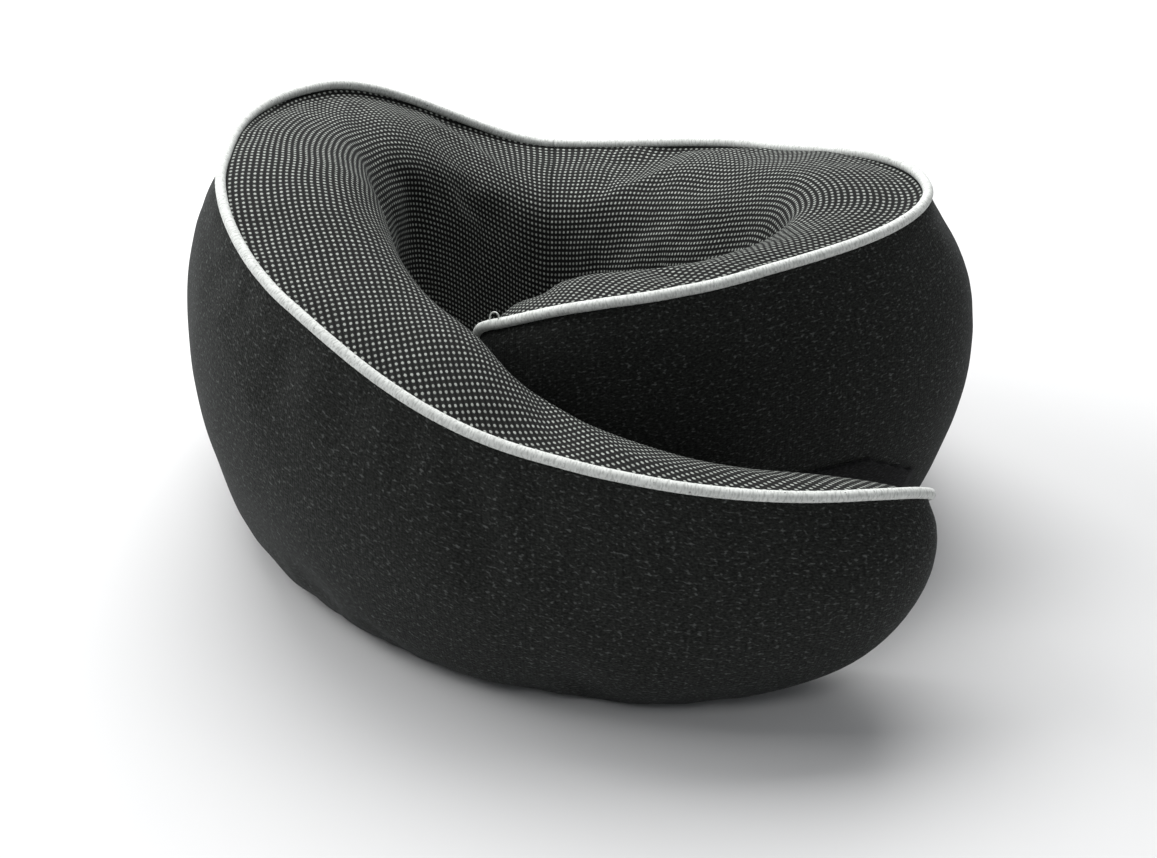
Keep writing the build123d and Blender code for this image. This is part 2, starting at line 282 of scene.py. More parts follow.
# %% [markdown]
# ## The stuffed cover
# Foam does not fill its cover evenly: the knit is stretched over it, and pulls in along every
# seam. Real cloth does this by itself, so each half of the cover is run as cloth with a little air
# pressure inside. The seams and the middle of the back are held still, and no point may leave the
# foam by more than a few millimetres, because foam, unlike air, keeps its shape.

# %% Inflate a half
SEAM_COLUMNS = (0, OUTER_N, OUTER_N + BASE_N)
PRESSURE, FRAMES, MOST_MOVE = 3.0, 14, 2.6 * MM
BACK_ROWS = 6.0         # the swelling fades in over this many rings from the middle of the back
TIP_ROWS = 14           # and fades out over this many rings before a tip
# height in mm, then plan angle and width in degrees, then column and width in columns
GATHERS = (0.75, 150, 26, 70, 11)
PUSHED_UP = (6.0, 254, 15, 82, 8)
SUNK_CREST = (-4.5, -88, 15, 80, 9)


def bell(value, middle, width):
    """Smooth hump, 1 at the middle."""
    return math.exp(-((value - middle) / width) ** 2)


def hump(sizes, angle, column):
    """A swelling of one place on the cover."""
    height, middle, width, across, spread = sizes
    return height * bell(angle, middle, width) * bell(column, across, spread)


def lumps(co, angle, column):
    """Unevenness of filled foam, gathers on the neck side, and both arms' crests where they meet."""
    seam = min(abs(column - c) for c in (*SEAM_COLUMNS, RING_N))
    slow = 0.8 * noise.noise(Vector(co) * 22) + 0.35 * noise.noise(Vector(co) * 70)
    wave = math.sin(math.radians(angle) * 15 + 0.35 * column)
    gathers = wave * hump(GATHERS, angle, column)
    crest = hump(PUSHED_UP, angle, column) + hump(SUNK_CREST, angle, column)
    return (slow * min(seam / 4, 1) + gathers + crest) * MM


def rows_and_columns(mesh):
    """The row and column of every point of a lofted mesh."""
    numbers = np.zeros((2, len(mesh.vertices)), int)
    for name, values in zip(("row", "column"), numbers):
        mesh.attributes[name].data.foreach_get("value", values)
    return numbers


def inflate(piece, angles):
    """Runs the half as pressurised cloth and keeps a capped part of the movement."""
    mesh = piece.data
    count = len(mesh.vertices)
    row, column = rows_and_columns(mesh)
    start = np.zeros(count * 3)
    mesh.vertices.foreach_get("co", start)
    start = start.reshape(-1, 3)
    held = piece.vertex_groups.new(name="held")
    for i in range(count):
        gap = min(min(abs(column[i] - c), abs(column[i] - c + RING_N)) for c in SEAM_COLUMNS)
        hold = max({0: 1.0, 1: 0.5}.get(int(gap), 0.0), 1.0 - row[i] / 3)
        if hold > 0:
            held.add([i], hold, "REPLACE")
    cloth = piece.modifiers.new("cloth", "CLOTH")
    cloth.settings.quality = 6
    cloth.settings.mass = 0.15
    cloth.settings.tension_stiffness = cloth.settings.compression_stiffness = 12
    cloth.settings.shear_stiffness = 4
    cloth.settings.bending_stiffness = 0.4
    cloth.settings.shrink_min = -0.015
    cloth.settings.use_pressure = True
    cloth.settings.uniform_pressure_force = PRESSURE
    cloth.settings.vertex_group_mass = "held"
    cloth.settings.effector_weights.gravity = 0
    cloth.collision_settings.use_self_collision = False
    cloth.point_cache.frame_end = FRAMES
    for step in range(1, FRAMES + 1):
        bpy.context.scene.frame_set(step)
    bpy.context.view_layer.update()
    view = piece.evaluated_get(bpy.context.evaluated_depsgraph_get())
    moved = np.zeros(count * 3)
    view.data.vertices.foreach_get("co", moved)
    move = moved.reshape(-1, 3) - start
    length = np.linalg.norm(move, axis=1)
    move *= (MOST_MOVE * np.tanh(length / MOST_MOVE) / np.maximum(length, 1e-9))[:, None]
    piece.modifiers.remove(cloth)
    bpy.context.scene.frame_set(1)
    fade = np.clip(row / BACK_ROWS, 0, 1)[:, None]
    bm = bmesh.new()
    bm.from_mesh(mesh)
    bm.normal_update()
    normals = np.array([v.normal for v in bm.verts])
    bm.free()
    shape = [lumps(start[i], angles[row[i]], column[i]) for i in range(count)]
    calm = np.clip((row.max() - row) / TIP_ROWS - 0.3, 0, 1)[:, None]
    final = start + (move + normals * np.array(shape)[:, None]) * fade * calm
    final[:, 2] = np.where(start[:, 2] < 0.3 * MM, start[:, 2], np.maximum(final[:, 2], 0.2 * MM))
    mesh.vertices.foreach_set("co", final.ravel())
    print(f"{piece.name}: cloth moved up to {length.max() / MM:.1f} mm, mean {length.mean() / MM:.2f}")


def make_half(side):
    """One closed half of the stuffed cover."""
    angles = half_angles(side)
    bm = loft([placed(a, section(a)) for a in angles], cap_end=True)
    outward(bm)
    piece = new_piece(f"cover_{side}", bm)
    inflate(piece, angles)
    return piece, angles


halves = {side: make_half(side) for side in ("left", "right")}
for side, (piece, angles) in halves.items():
    print(side, "half:", len(piece.data.vertices), "points,", len(angles), "rings")

# %% [markdown]
# ## Room for the zip
# The zip lies in a circular arc, low on the back wall. Its tapes, coil and slider come from the
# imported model, so the cover and the foam give way to them: under the tapes the wall is pressed in
# far enough for the slider's lower plate to pass.

# %% Press the wall in along the zip
ZIP_CENTRE = CENTRE + Vector((-7, -5, 16)) * MM
ZIP_R = 123 * MM
ZIP_TILT = math.radians(11)
ZIP_SPAN = (math.radians(52), math.radians(128))
ROOM_DEPTH = 3.8            # mm from the middle of the tapes down to the pressed-in wall
ROOM_FLAT, ROOM_EDGE = 6.3, 13      # half width of its flat bottom and of the whole, mm
ROOM_SLOPE = 1.4
ROOM_END = 0.08             # the room runs on this far past each end of the tapes, radians


def zip_axes(angle):
    """Outward and up-the-wall directions of the tapes at an angle round the zip's circle."""
    out = Vector((math.cos(angle), math.sin(angle), 0))
    normal = out * math.cos(ZIP_TILT) - Vector((0, 0, math.sin(ZIP_TILT)))
    return normal, out * math.sin(ZIP_TILT) + Vector((0, 0, math.cos(ZIP_TILT)))


def zip_point(angle, across, above):
    """A point beside the zip's middle line: across the tapes, and above them."""
    normal, up = zip_axes(angle)
    foot = ZIP_CENTRE + Vector((math.cos(angle), math.sin(angle), 0)) * ZIP_R
    return foot + up * across + normal * above


def zip_room(mesh, extra):
    """Keeps the wall below the tapes and the slider; extra is more room, for the foam."""
    for vert in mesh.vertices:
        flat = vert.co - ZIP_CENTRE
        angle = math.atan2(flat.y, flat.x)
        beside = ZIP_SPAN[0] - ROOM_END < angle < ZIP_SPAN[1] + ROOM_END
        if not beside or flat.xy.length < 0.8 * ZIP_R:
            continue
        normal, up = zip_axes(angle)
        local = vert.co - zip_point(angle, 0, 0)
        across, above = abs(local.dot(up)) / MM, local.dot(normal) / MM
        limit = -ROOM_DEPTH - extra + max(across - ROOM_FLAT, 0) * ROOM_SLOPE
        if across < ROOM_EDGE and above > limit:
            vert.co += normal * (limit - above) * MM


for piece, angles in halves.values():
    zip_room(piece.data, 0.0)
print("zip: arc of", round(math.degrees(ZIP_SPAN[1] - ZIP_SPAN[0])), "degrees,",
      round((ZIP_SPAN[1] - ZIP_SPAN[0]) * ZIP_R / MM), "mm long")

# %% [markdown]
# ## Laying the fabric on the panels
# A knit only looks right if its rows run as they do on the sewn pillow, so each panel carries a
# flat pattern as its UV map, measured in metres of fabric. Round the back the rows follow the
# roll. On the arms the cut piece is curved, so the rows keep their direction while the seam turns
# away from them, and the grid of dots meets the piping at a slant.

# %% Flat patterns
TURN_START, TURN_END = 95, 190          # degrees from the middle of the back
SLANT = math.radians(56)                # how far the rows have turned at the arms' ends
REFERENCE = RING_N - 8                  # the column whose length the fabric keeps


def grid_of(piece):
    """Point positions of a half as an array [row, column]."""
    mesh = piece.data
    row, column = rows_and_columns(mesh)
    co = np.zeros(len(mesh.vertices) * 3)
    mesh.vertices.foreach_get("co", co)
    grid = np.zeros((row.max() + 1, RING_N + 1, 3))
    grid[row, column] = co.reshape(-1, 3)
    grid[:, RING_N] = grid[:, 0]
    return grid


def lengths(points):
    """Distance run at each point of a line."""
    return np.concatenate([[0], np.cumsum(np.linalg.norm(np.diff(points, axis=0), axis=1))])


def flat_patterns(grid, angles, side):
    """Fabric coordinates in metres for each [row, column] of a half, for all three panels."""
    sign = 1 if side == "left" else -1
    along = lengths(grid[:, REFERENCE])
    swing = np.array([min(max((abs(a - BACK_MIDDLE) - TURN_START) / (TURN_END - TURN_START), 0), 1)
                      for a in angles])
    heading = SLANT * swing * swing * (3 - 2 * swing)
    step = np.diff(along)
    middle = (heading[1:] + heading[:-1]) / 2
    line = np.zeros((len(angles), 2))
    line[1:, 0] = np.cumsum(step * np.cos(middle))
    line[1:, 1] = np.cumsum(step * np.sin(middle))
    normal = np.stack([-np.sin(heading), np.cos(heading)], 1)
    pattern = np.zeros((len(angles), RING_N + 1, 2))
    outer_along = lengths(grid[:, OUTER_N // 2])
    for r in range(len(angles)):
        inward = lengths(grid[r, ::-1])[::-1]
        depth = inward - inward[REFERENCE]
        pattern[r] = line[r] + normal[r] * depth[:, None]
        pattern[r, :OUTER_N + 1, 0] = outer_along[r]
        pattern[r, :OUTER_N + 1, 1] = -lengths(grid[r, :OUTER_N + 1])
    pattern[:, OUTER_N + 1:OUTER_N + BASE_N] = grid[:, OUTER_N + 1:OUTER_N + BASE_N, :2]
    pattern[..., 0] *= sign
    return pattern


# the first and last column of each panel
PANELS = {"outer": (0, OUTER_N), "base": (OUTER_N, OUTER_N + BASE_N), "neck": (OUTER_N + BASE_N, RING_N)}


def panel(half, pattern, name, first, last):
    """Cuts one panel out of a half and gives it its fabric coordinates."""
    bm = bmesh.new()
    bm.from_mesh(half.data)
    row_of = bm.verts.layers.int["row"]
    column_of = bm.verts.layers.int["column"]
    uv = bm.loops.layers.uv.new("fabric")
    rest = []
    for face in bm.faces:
        columns = [v[column_of] for v in face.verts]
        if max(columns) - min(columns) > RING_N // 2 and len(columns) == 4:
            columns = [c or RING_N for c in columns]
        middle = sum(columns) / len(columns)
        if len(face.verts) > 4:
            middle = 1
        if not first < middle < last:
            rest.append(face)
            continue
        for loop, c in zip(face.loops, columns):
            loop[uv].uv = pattern[loop.vert[row_of], c]
    bmesh.ops.delete(bm, geom=rest, context="FACES")
    piece = new_piece(name, bm)
    smooth = piece.modifiers.new("smooth", "SUBSURF")
    smooth.levels = smooth.render_levels = 1
    return piece


panels = {}
grids = {side: grid_of(half) for side, (half, angles) in halves.items()}
for side, (half, angles) in halves.items():
    pattern = flat_patterns(grids[side], angles, side)
    for part, (first, last) in PANELS.items():
        name = f"cover_{part}_panel_{side}_half"
        panels[side, part] = panel(half, pattern, name, first, last)
        print(name, len(panels[side, part].data.polygons), "squares")

# %% [markdown]
# ## Piping
# The cord is a tube that follows the seam. A tube along a line is the same loft again, with a
# small circle at each step of the line, turned to face along it. The circles' points are moved in
# and out a few hundredths of a millimetre in a slanting pattern, which is the braid.

# %% Piping cord
CORD_R = 1.65 * MM
CORD_STEP = 1.1 * MM
CORD_N = 14
CORD_SIT = 0.4              # the cord's middle stands this share of its radius off the seam
CORD_STOP = 0.02 * NOSE     # degrees from the cord's end to the arm's end
BRAID_STEP = 2.6 * MM


def tube(name, path, radius, points_round, relief=0.0):
    """Closed tube along a path, with its length and girth as UV in metres."""
    rings = []
    across = Vector((0, 0, 1))
    along = lengths(np.array(path))
    for i, point in enumerate(path):
        ahead = Vector(path[min(i + 1, len(path) - 1)]) - Vector(path[max(i - 1, 0)])
        across = (across - ahead * across.dot(ahead) / ahead.length_squared).normalized()
        other = ahead.normalized().cross(across)
        ring = []
        for k in range(points_round):
            a = 2 * math.pi * k / points_round
            bump = relief * math.sin(2 * a + 2 * math.pi * along[i] / BRAID_STEP)
            ring.append(Vector(point) + (across * math.cos(a) + other * math.sin(a)) * (radius + bump))
        rings.append(ring)
    bm = loft(rings, cap_start=True, cap_end=True)
    outward(bm)
    uv = bm.loops.layers.uv.new("fabric")
    row_of, column_of = bm.verts.layers.int["row"], bm.verts.layers.int["column"]
    for face in bm.faces:
        columns = [v[column_of] for v in face.verts]
        wraps = max(columns) - min(columns) > points_round // 2
        for loop, c in zip(face.loops, columns):
            c = points_round if wraps and c == 0 else c
            loop[uv].uv = along[loop.vert[row_of]], 2 * math.pi * radius * c / points_round
    return new_piece(name, bm)


def seam_line(side):
    """The piping's middle line: the seam, moved out a little along the fabric's edge."""
    half, angles = halves[side]
    row, column = rows_and_columns(half.data)
    normals = np.zeros((len(angles), 3))
    for i in np.nonzero(column == 0)[0]:
        normals[row[i]] = half.data.vertices[i].normal
    keep = [i for i, a in enumerate(angles) if abs(a - TIPS[side]) >= CORD_STOP]
    line = grids[side][keep, 0] + normals[keep] * CORD_R * CORD_SIT
    count = int(lengths(line)[-1] / CORD_STEP)
    return smooth_run(line, line[1] - line[0], line[-1] - line[-2], count)


piping = {}
for side in halves:
    path = seam_line(side)
    piping[side] = tube(f"piping_{side}_half", path, CORD_R, CORD_N, relief=0.03 * MM)
    print("piping", side, "length", round(lengths(path)[-1] / MM), "mm")

# %% [markdown]
# ## Camera, light and floor
# The camera looks down at the front of the pillow from a little over half a metre, as a person who
# stands at the table sees it. The light is a wide soft panel above and behind, with weak fill from
# the front, so the tops are bright and the front wall stays dark but readable.

# %% Camera, light and floor
CAMERA_AT = CENTRE + Vector((30.5, -509.7, 336.4)) * MM
CAMERA_BACK = Vector((0.0298, -0.8536, 0.5200))
LENS, SENSOR = 54.28, 36.0
LIGHTS_AIM = Vector((0, 0, 0.06))           # every light points at the middle of the pillow


def aimed(place, back):
    """Matrix of a camera or light at a place, looking away from the direction back."""
    return Matrix.Translation(place) @ back.to_track_quat("Z", "Y").to_matrix().to_4x4()


def add_camera():
    data = bpy.data.cameras.new("camera")
    data.sensor_width = SENSOR
    data.lens = LENS
    data.clip_start = 0.01
    camera = bpy.data.objects.new("camera", data)
    camera.matrix_world = aimed(CAMERA_AT, CAMERA_BACK)
    bpy.context.collection.objects.link(camera)
    bpy.context.scene.camera = camera


def add_panel_light(name, place, size, power):
    data = bpy.data.lights.new(name, "AREA")
    data.shape = "RECTANGLE"
    data.size, data.size_y = size
    data.energy = power
    lamp = bpy.data.objects.new(name, data)
    lamp.matrix_world = aimed(place, Vector(place) - LIGHTS_AIM)
    bpy.context.collection.objects.link(lamp)


def add_floor():
    bm = bmesh.new()
    bmesh.ops.create_grid(bm, x_segments=1, y_segments=1, size=30)
    floor = new_piece("floor", bm)
    floor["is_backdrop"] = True


add_camera()
add_panel_light("above", (-0.1, 0.62, 1.1), (1.3, 0.8), 20)
add_panel_light("left", (-0.95, 0.1, 0.8), (0.7, 0.7), 8)
add_panel_light("front", (0.1, -0.9, 1.2), (0.6, 0.5), 2)
add_floor()
world = bpy.data.worlds.new("studio")
world.use_nodes = True
world.node_tree.nodes["Background"].inputs["Color"].default_value = (0.93, 0.96, 1.0, 1)
world.node_tree.nodes["Background"].inputs["Strength"].default_value = 0.19
bpy.context.scene.world = world
bpy.context.scene.view_settings.view_transform = "Standard"
print("camera", round((CAMERA_AT - CENTRE).length, 3), "m from the pillow's middle")

# %% [markdown]
# ## Materials from node groups
# Each fabric is a small node group that puts out a colour and a height. A helper writes the nodes:
# `Nodes` adds a node, sets its values and links what it is given, so a recipe reads like a formula.

# %% Node helper
class Nodes:
    """Adds nodes to a tree; sockets given as values are set and as sockets are linked."""

    def __init__(self, tree):
        self.tree = tree

    def add(self, kind, inputs=(), **settings):
        node = self.tree.nodes.new(kind)
        for key, value in settings.items():
            setattr(node, key, value)
        for key, value in dict(inputs).items():
            if isinstance(value, bpy.types.NodeSocket):
                self.tree.links.new(value, node.inputs[key])
            else:
                node.inputs[key].default_value = value
        return node

    def math(self, operation, a, b=0.0, c=0.0):
        return self.add("ShaderNodeMath", {0: a, 1: b, 2: c}, operation=operation).outputs[0]

    def mix(self, factor, a, b):
        node = self.add("ShaderNodeMix", {0: factor, 6: a, 7: b}, data_type="RGBA")
        return node.outputs[2]

    def ramp(self, value, low, high):
        node = self.add("ShaderNodeMapRange", {0: value, 1: low, 2: high}, interpolation_type="SMOOTHSTEP")
        return node.outputs[0]

    def noise(self, where, scale, detail=2.0):
        node = self.add("ShaderNodeTexNoise", {"Vector": where, "Scale": scale, "Detail": detail})
        return node.outputs["Fac"]


def group(name, *outputs):
    """A node group with the named outputs; returns its tree, a Nodes and the output node."""
    tree = bpy.data.node_groups.new(name, "ShaderNodeTree")
    for label, kind in outputs:
        tree.interface.new_socket(name=label, in_out="OUTPUT", socket_type=kind)
    nodes = Nodes(tree)
    return tree, nodes, nodes.add("NodeGroupOutput")


def fabric_uv(nodes):
    return nodes.add("ShaderNodeUVMap", uv_map="fabric").outputs[0]


LOOK = (("Color", "NodeSocketColor"), ("Height", "NodeSocketFloat"))

# %% [markdown]
# ## Heather knit
# A charcoal jersey spun from dark and pale fibres. The base is nearly black. Short pale flecks,
# longer along the rows than across them, are noise stretched along the fabric's X. A slower noise
# makes whole areas a little lighter, and fine stitch columns show up close.

# %% Heather knit recipe
def heather_group():
    tree, n, out = group("heather_knit", *LOOK)
    uv = fabric_uv(n)
    long_way = n.add("ShaderNodeMapping", {"Vector": uv, "Scale": (0.55, 1.0, 1.0)}).outputs[0]
    fleck = n.ramp(n.noise(long_way, 1150.0, 1.0), 0.56, 0.74)
    fibre = n.ramp(n.noise(long_way, 1700.0, 2.0), 0.36, 0.68)
    patch = n.ramp(n.noise(uv, 420.0, 2.0), 0.35, 0.68)
    column = n.add("ShaderNodeTexWave", {"Vector": uv, "Scale": 340.0, "Distortion": 1.2,
                                         "Detail": 1.0, "Detail Scale": 3.0}).outputs["Fac"]
    base = n.mix(patch, (0.0040, 0.0043, 0.0038, 1), (0.0088, 0.0096, 0.0086, 1))
    fibres = n.mix(n.math("MULTIPLY", fibre, 0.60), base, (0.031, 0.034, 0.030, 1))
    share = n.math("MULTIPLY", fleck, n.math("MULTIPLY_ADD", patch, 0.40, 0.35))
    flecked = n.mix(share, fibres, (0.125, 0.132, 0.128, 1))
    height = n.math("ADD", n.math("MULTIPLY", column, 0.35), n.math("MULTIPLY", fibre, 0.65))
    n.tree.links.new(flecked, out.inputs["Color"])
    n.tree.links.new(height, out.inputs["Height"])
    return tree


# %% [markdown]
# ## Dotted knit
# A near-black mesh with a square grid of pale raised stitches. The fabric's own coordinates are
# divided by the pitch; the distance to the middle of each cell gives the dot. Noise nudges the
# grid and varies the brightness, because knitted stitches are never all alike.

# %% Dotted knit recipe
PITCH = 1.95 * MM
DOT = 0.235          # radius, as a share of the pitch


def dotted_group():
    tree, n, out = group("dotted_knit", *LOOK)
    uv = fabric_uv(n)
    wander = n.add("ShaderNodeTexNoise", {"Vector": uv, "Scale": 45.0, "Detail": 1.0}).outputs["Color"]
    centred = n.add("ShaderNodeVectorMath", {0: wander, 1: (0.5, 0.5, 0.5)}, operation="SUBTRACT")
    nudge = n.add("ShaderNodeVectorMath", {0: centred.outputs[0], "Scale": 0.9 * PITCH}, operation="SCALE")
    moved = n.add("ShaderNodeVectorMath", {0: uv, 1: nudge.outputs[0]}, operation="ADD").outputs[0]
    cells = n.add("ShaderNodeVectorMath", {0: moved, "Scale": 1 / PITCH}, operation="SCALE").outputs[0]
    cell = n.add("ShaderNodeVectorMath", {0: cells}, operation="FRACTION").outputs[0]
    flat = n.add("ShaderNodeVectorMath", {0: cell, 1: (1, 1, 0)}, operation="MULTIPLY").outputs[0]
    away = n.add("ShaderNodeVectorMath", {0: flat, 1: (0.5, 0.5, 0)}, operation="DISTANCE")
    rough = n.math("MULTIPLY_ADD", n.noise(uv, 2600.0, 1.0), 0.14, -0.07)
    distance = n.math("ADD", away.outputs["Value"], rough)
    dot = n.ramp(distance, DOT + 0.07, DOT - 0.07)
    index = n.add("ShaderNodeVectorMath", {0: cells}, operation="FLOOR").outputs[0]
    chance = n.add("ShaderNodeTexWhiteNoise", {"Vector": index}, noise_dimensions="2D").outputs["Value"]
    bright = n.math("MULTIPLY_ADD", chance, 0.35, 0.65)
    parts = n.add("ShaderNodeSeparateXYZ", {"Vector": cell})
    # rib is 1 along each row of dots and 0 between rows. The ground below is near-black yarn, drawn darker
    # in the grooves between rows and lighter on the ribs; that darkening is painted shade in the grooves.
    rib = n.ramp(n.math("ABSOLUTE", n.math("SUBTRACT", parts.outputs["Y"], 0.5)), 0.5, 0.18)
    ground = n.mix(rib, (0.0030, 0.0031, 0.0030, 1), (0.0125, 0.0130, 0.0120, 1))
    share = n.math("MULTIPLY", dot, bright)
    colour = n.mix(share, ground, (0.45, 0.475, 0.44, 1))
    height = n.math("ADD", n.math("MULTIPLY", dot, 0.6), n.math("MULTIPLY", rib, 0.4))
    n.tree.links.new(colour, out.inputs["Color"])
    n.tree.links.new(height, out.inputs["Height"])
    return tree


# %% [markdown]
# ## Cord, foam, tapes, nylon and enamel
# The cord is off-white with slanting strands and a few dark specks. Foam is cream with open
# cells. The zip's tapes are plain weave, its coil and the hook tape are nylon, the loop tape is
# brushed, and the slider and its pull are enamelled, worn a little at the edges.

# %% Small recipes
def cord_group():
    tree, n, out = group("piping_cord", *LOOK)
    uv = fabric_uv(n)
    slant = n.add("ShaderNodeMapping", {"Vector": uv, "Rotation": (0, 0, 0.9), "Scale": (1, 0.35, 1)})
    strand = n.noise(slant.outputs[0], 1700.0, 2.0)
    soft = n.noise(uv, 300.0, 2.0)
    speck = n.ramp(n.noise(uv, 900.0, 0.0), 0.80, 0.86)
    pale = n.mix(n.ramp(strand, 0.34, 0.56), (0.56, 0.575, 0.55, 1), (0.82, 0.84, 0.81, 1))
    shade = n.mix(n.math("MULTIPLY", n.ramp(soft, 0.62, 0.38), 0.30), pale, (0.50, 0.515, 0.49, 1))
    colour = n.mix(n.math("MULTIPLY", speck, 0.8), shade, (0.10, 0.10, 0.10, 1))
    n.tree.links.new(colour, out.inputs["Color"])
    n.tree.links.new(strand, out.inputs["Height"])
    return tree


def spotted_group(name, scale, low, high, dark, pale, uv_map=True):
    """Noise between two colours: foam cells, woven tape, brushed loops."""
    tree, n, out = group(name, *LOOK)
    where = fabric_uv(n) if uv_map else n.add("ShaderNodeTexCoord").outputs["Object"]
    grain = n.noise(where, scale, 3.0)
    n.tree.links.new(n.mix(n.ramp(grain, low, high), dark, pale), out.inputs["Color"])
    n.tree.links.new(grain, out.inputs["Height"])
    return tree


def weave_group():
    tree, n, out = group("zip_tape", *LOOK)
    where = n.add("ShaderNodeTexCoord").outputs["Object"]
    rows = n.add("ShaderNodeTexWave", {"Vector": where, "Scale": 420.0, "Distortion": 0.6},
                 bands_direction="Z").outputs["Fac"]
    threads = n.add("ShaderNodeTexWave", {"Vector": where, "Scale": 520.0, "Distortion": 0.6},
                    bands_direction="X").outputs["Fac"]
    height = n.math("MULTIPLY", rows, threads)
    n.tree.links.new(n.mix(height, (0.010, 0.010, 0.011, 1), (0.030, 0.030, 0.033, 1)), out.inputs["Color"])
    n.tree.links.new(height, out.inputs["Height"])
    return tree


def worn_group():
    tree, n, out = group("zip_metal", *LOOK)
    where = n.add("ShaderNodeTexCoord").outputs["Object"]
    edge = n.ramp(n.add("ShaderNodeNewGeometry").outputs["Pointiness"], 0.53, 0.60)
    wear = n.math("MULTIPLY", edge, n.ramp(n.noise(where, 900.0), 0.50, 0.60))
    n.tree.links.new(n.mix(wear, (0.018, 0.018, 0.019, 1), (0.055, 0.055, 0.057, 1)), out.inputs["Color"])
    n.tree.links.new(n.noise(where, 1500.0), out.inputs["Height"])
    return tree


def material(name, recipe, rough, depth, sheen=0.0, metallic=0.0, coat=0.0):
    """A Principled material driven by a recipe's colour and height; depth is in metres."""
    mat = bpy.data.materials.new(name)
    mat.use_nodes = True
    n = Nodes(mat.node_tree)
    look = n.add("ShaderNodeGroup", node_tree=recipe)
    shader = mat.node_tree.nodes["Principled BSDF"]
    bump = n.add("ShaderNodeBump", {"Strength": 1.0, "Distance": depth, "Height": look.outputs["Height"]})
    uneven = n.math("MULTIPLY_ADD", look.outputs["Height"], -0.12, rough + 0.06)
    n.tree.links.new(look.outputs["Color"], shader.inputs["Base Color"])
    n.tree.links.new(bump.outputs[0], shader.inputs["Normal"])
    n.tree.links.new(uneven, shader.inputs["Roughness"])
    shader.inputs["Metallic"].default_value = metallic
    shader.inputs["Specular IOR Level"].default_value = 0.25 if sheen else 0.5
    shader.inputs["Sheen Weight"].default_value = sheen
    shader.inputs["Sheen Roughness"].default_value = 0.45
    shader.inputs["Sheen Tint"].default_value = (0.75, 0.80, 0.82, 1)
    shader.inputs["Coat Weight"].default_value = coat
    return mat


FOAM_LOOK = spotted_group("foam", 700.0, 0.35, 0.65, (0.50, 0.46, 0.36, 1), (0.78, 0.74, 0.62, 1))
NYLON_LOOK = spotted_group("nylon", 1200.0, 0.4, 0.6, (0.012, 0.012, 0.013, 1), (0.028, 0.028, 0.030, 1),
                           uv_map=False)
LOOPS_LOOK = spotted_group("loops", 2400.0, 0.4, 0.7, (0.004, 0.004, 0.004, 1), (0.022, 0.022, 0.023, 1))
HOOKS_LOOK = spotted_group("hooks", 1800.0, 0.4, 0.6, (0.004, 0.004, 0.004, 1), (0.020, 0.020, 0.021, 1))
MATERIALS = {
    "heather_knit": material("heather_knit", heather_group(), 0.88, 0.12 * MM, sheen=0.06),
    "dotted_knit": material("dotted_knit", dotted_group(), 0.85, 0.16 * MM, sheen=0.03),
    "piping_cord": material("piping_cord", cord_group(), 0.80, 0.08 * MM, sheen=0.10),
    "foam": material("foam", FOAM_LOOK, 0.90, 0.20 * MM),
    "zip_tape": material("zip_tape", weave_group(), 0.80, 0.06 * MM),
    "zip_coil": material("zip_coil", NYLON_LOOK, 0.40, 0.01 * MM),
    "zip_metal": material("zip_metal", worn_group(), 0.32, 0.01 * MM, metallic=0.6, coat=0.3),
    "hook_tape": material("hook_tape", HOOKS_LOOK, 0.45, 0.25 * MM),
    "loop_tape": material("loop_tape", LOOPS_LOOK, 0.92, 0.25 * MM, sheen=0.05),
}
print(len(MATERIALS), "materials")

# %% [markdown]
# ## Cover panels
# The panels get their thickness inwards, and their fabric. Their names say which half they belong
# to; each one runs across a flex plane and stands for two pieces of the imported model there.

# %% Finish the cover panels
COVER_THICK = 0.7 * MM
FABRIC = {"outer": "heather_knit", "neck": "dotted_knit", "base": "heather_knit"}


def dress(piece, fabric):
    """Fabric and smooth shading on a piece."""
    piece.data.materials.clear()
    piece.data.materials.append(MATERIALS[fabric])
    piece.data.shade_smooth()


def settle(piece):
    """Turns a piece's modifiers into its mesh."""
    depsgraph = bpy.context.evaluated_depsgraph_get()
    mesh = bpy.data.meshes.new_from_object(piece.evaluated_get(depsgraph))
    piece.modifiers.clear()
    piece.data = mesh


for (side, part), piece in panels.items():
    settle(piece)
    dress(piece, FABRIC[part])
    wall = piece.modifiers.new("thickness", "SOLIDIFY")
    wall.thickness = COVER_THICK
    wall.offset = -1
print("cover panels:", sum(len(p.data.polygons) for p in panels.values()), "faces")

# %% [markdown]
# ## Foam
# The foam is the same half, one cover and a little air inside the fabric. Shrinking the points
# along their normals keeps it there all the way round.

# %% Foam cores
def foam_core(side):
    half, angles = halves[side]
    bm = bmesh.new()
    bm.from_mesh(half.data)
    bm.normal_update()
    depth = FOAM_INSET * MM
    places = [v.co - v.normal * depth for v in bm.verts]
    for vert, place in zip(bm.verts, places):
        vert.co = place
    for _ in range(2):
        bmesh.ops.smooth_vert(bm, verts=bm.verts, factor=0.5, use_axis_x=True, use_axis_y=True,
                              use_axis_z=True)
    uv = bm.loops.layers.uv.new("fabric")
    for face in bm.faces:
        for loop in face.loops:
            loop[uv].uv = loop.vert.co.x + loop.vert.co.y, loop.vert.co.z + 0.4 * loop.vert.co.y
    core = new_piece(f"foam_core_{side}_half", bm)
    zip_room(core.data, 2.0)
    dress(core, "foam")
    return core


foam_cores = {side: foam_core(side) for side in halves}
for side, core in foam_cores.items():
    print(core.name, len(core.data.polygons), "faces")

# %% [markdown]
# ## Hook and loop patches
# Each patch is a rectangle of a wall's own squares, lifted off the fabric and given thickness. It
# is taken from the finished panel, so it follows every swell of the cover.

# %% Patches
PATCH_THICK = 1.0 * MM


